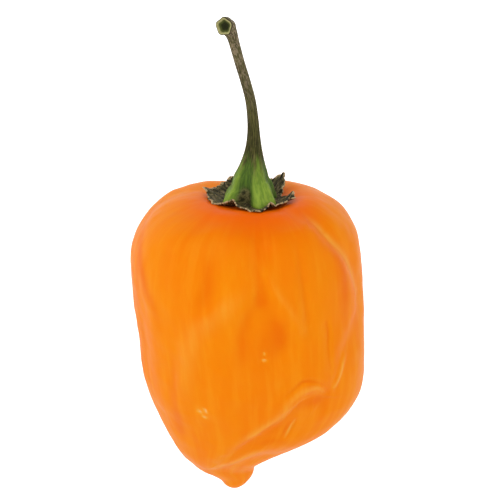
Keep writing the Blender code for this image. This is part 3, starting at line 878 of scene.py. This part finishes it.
class PEPPER_OT_stem(bpy.types.Operator):
    """Extrudes the stem from its ribbed foot to its cut end"""

    bl_idname = "pepper.stem"
    bl_label = "Stem"

    def execute(self, context):
        sizes = context.scene.pepper_sizes
        steps = STEM_STEPS
        rings = steps + len(CUT_FACE)
        stem = ring_tube("pepper_stem", STEM_SIDES, rings)
        select_ring(stem, rings - 1)
        bpy.ops.mesh.merge(type="CENTER")
        bpy.ops.object.mode_set(mode="OBJECT")
        select_ring(stem, 0)
        bpy.ops.mesh.edge_face_add()
        bpy.ops.mesh.select_all(action="SELECT")
        bpy.ops.mesh.normals_make_consistent(inside=False)
        bpy.ops.object.mode_set(mode="OBJECT")
        mesh = stem.data

        # the centre and the turn of each ring, with the cut face's rings after the stem's own
        stations = smooth_rows(np.array(STEM_ROUTE) * MM, steps)
        centres, radii = stations[:, :3], stations[:, 3]
        ahead = np.gradient(centres, axis=0)
        turn, heading, turns = Matrix.Identity(3), Vector((0, 0, 1)), []
        for direction in ahead:
            direction = Vector(direction).normalized()
            turn = heading.rotation_difference(direction).to_matrix() @ turn
            heading = direction
            turns.append(np.array(turn))
        for radius, sunk in CUT_FACE:
            centres = np.vstack((centres, centres[steps - 1] - sunk * MM * np.array(heading)))
            radii = np.append(radii, radius * MM)
            turns.append(turns[-1])
        turns = np.array(turns)

        # the ribbed foot with its toes, the rippled stem, and the cornered end
        tube = places_of(mesh)
        ring = np.rint(tube[:, 2]).astype(int)
        around = np.arctan2(tube[:, 1], tube[:, 0])
        out = np.hypot(tube[:, 0], tube[:, 1]) > 0.5
        toe = np.zeros(len(ring))
        for degrees, reach, wide in TOES:
            toe += reach * MM * np.exp(-((degrees_from(around, degrees) / wide) ** 2))
        height = centres[ring, 2] + FOOT_DEPTH
        foot_half = ring < steps // 2
        low = np.exp(-np.maximum(height, 0) / TOE_HEIGHT) * foot_half
        tucked = np.interp(height, TOE_UNDERSIDE, (TOE_TUCK, 1))
        ribs = 0.16 * (toe / LONG_TOE - 0.5) * np.exp(-((height / RIB_HEIGHT) ** 2)) * foot_half
        ripple = np.zeros(len(ring))
        for high, waves, start, twist in RIPPLES:
            ripple += high * np.sin(waves * around + start + twist * ring)
        corners = 0.07 * np.cos(5 * around + 1.0) + 0.05 * np.cos(2 * around + 0.5)
        end = np.clip((ring - steps + END_STEPS) / END_STEPS, 0, 1)
        radius = (radii[ring] * (1 + ribs + ripple * (1 - end) + corners * end) + toe * low * tucked) * out
        flat = np.column_stack((np.cos(around) * radius, np.sin(around) * radius, np.zeros(len(ring))))
        set_places(mesh, centres[ring] + np.einsum("ijk,ik->ij", turns[ring], flat))
        along = np.minimum(ring, steps - 1) / (steps - 1)
        set_mask(mesh, "along", along)
        # how lit the foot is painted: the longer toes and their low ends lit and bright, the rest shaded
        set_mask(mesh, "toe", np.clip(toe / LIT_TOE, 0, 1) * (0.45 + 0.55 * np.sqrt(low)))
        apart = degrees_from(around, NOOK_ANGLE) / NOOK_WIDTH
        set_mask(mesh, "nook", np.exp(-(apart**4)) * np.exp(-((height / NOOK_HEIGHT) ** 4)))
        set_mask(mesh, "cut", np.where(ring < steps - 2, -1, 1 - radii[ring] / radii[steps - 1]))
        set_grain(mesh, around, STEM_BAR, along * STEM_BAR_LENGTH)
        apply_modifier(stem, "Smooth", "SUBSURF", levels=1, render_levels=1)
        finish_piece(stem, stem_skin(context.scene.pepper_colours), "stem", sizes)
        return {"FINISHED"}


class PEPPER_OT_stage(bpy.types.Operator):
    """Sets the pale floor, the soft studio lights and the camera overhead"""

    bl_idname = "pepper.stage"
    bl_label = "Stage"

    def execute(self, context):
        scene = context.scene
        bpy.ops.object.select_all(action="DESELECT")
        bpy.ops.mesh.primitive_plane_add(size=FLOOR_WIDTH)
        floor = start_piece("floor")
        made, tree, shader = new_material("floor_white")
        shader.inputs["Base Color"].default_value = (0.92, 0.92, 0.92, 1)
        shader.inputs["Roughness"].default_value = 0.8
        shader.inputs["Emission Color"].default_value = (1, 1, 1, 1)
        seen = add_node(tree, "ShaderNodeLightPath").outputs["Is Camera Ray"]
        tree.links.new(remap(tree, seen, 0.0, 1.0, *FLOOR_GLOW), shader.inputs["Emission Strength"])
        floor.data.materials.append(made)

        world = bpy.data.worlds.new("Studio")
        scene.world = world
        world.use_nodes = True
        sky = world.node_tree
        direction = add_node(sky, "ShaderNodeTexCoord").outputs["Generated"]
        split = add_node(sky, "ShaderNodeSeparateXYZ", {0: direction})
        shade = blend_colours(sky, remap(sky, split.outputs["Z"], 0.2, 1.0), (1, 1, 1), (0.65, 0.65, 0.65))
        shade = blend_colours(sky, remap(sky, split.outputs["Y"], 0.3, 0.95), shade, (0.4, 0.4, 0.4))
        sky.links.new(shade, sky.nodes["Background"].inputs["Color"])
        sky.nodes["Background"].inputs["Strength"].default_value = SKY_STRENGTH

        for name, place, size, energy in LIGHTS:
            bpy.ops.object.light_add(type="AREA", location=place)
            light = context.active_object
            light.name = light.data.name = name
            light.data.size = size
            light.data.energy = energy
            light.rotation_euler = (LIT_PLACE - Vector(place)).to_track_quat("-Z", "Y").to_euler()

        bpy.ops.object.camera_add(location=CAMERA_PLACE, rotation=(0, 0, 0))
        camera = context.active_object
        camera.data.lens = CAMERA_LENS
        camera.data.sensor_width = 36
        camera.data.clip_start = 0.01
        scene.camera = camera
        scene.view_settings.view_transform = "Standard"
        return {"FINISHED"}


class PEPPER_PT_panel(bpy.types.Panel):
    bl_idname = "PEPPER_PT_panel"
    bl_label = "Habanero pepper"
    bl_space_type = "VIEW_3D"
    bl_region_type = "UI"
    bl_category = "Pepper"

    def draw(self, context):
        for group in (context.scene.pepper_sizes, context.scene.pepper_colours):
            for name in group.__annotations__:
                self.layout.prop(group, name)
        for operator in OPERATORS:
            self.layout.operator(operator.bl_idname)


OPERATORS = (PEPPER_OT_pod, PEPPER_OT_calyx, PEPPER_OT_stem, PEPPER_OT_stage)
CLASSES = (PepperSizes, PepperColours, *OPERATORS, PEPPER_PT_panel)


def register():
    for each in CLASSES:
        bpy.utils.register_class(each)
    bpy.types.Scene.pepper_sizes = bpy.props.PointerProperty(type=PepperSizes)
    bpy.types.Scene.pepper_colours = bpy.props.PointerProperty(type=PepperColours)


def unregister():
    del bpy.types.Scene.pepper_colours
    del bpy.types.Scene.pepper_sizes
    for each in reversed(CLASSES):
        bpy.utils.unregister_class(each)


def main():
    register()
    bpy.ops.pepper.pod()
    bpy.ops.pepper.calyx()
    bpy.ops.pepper.stem()
    bpy.ops.pepper.stage()


if __name__ == "__main__":
    main()
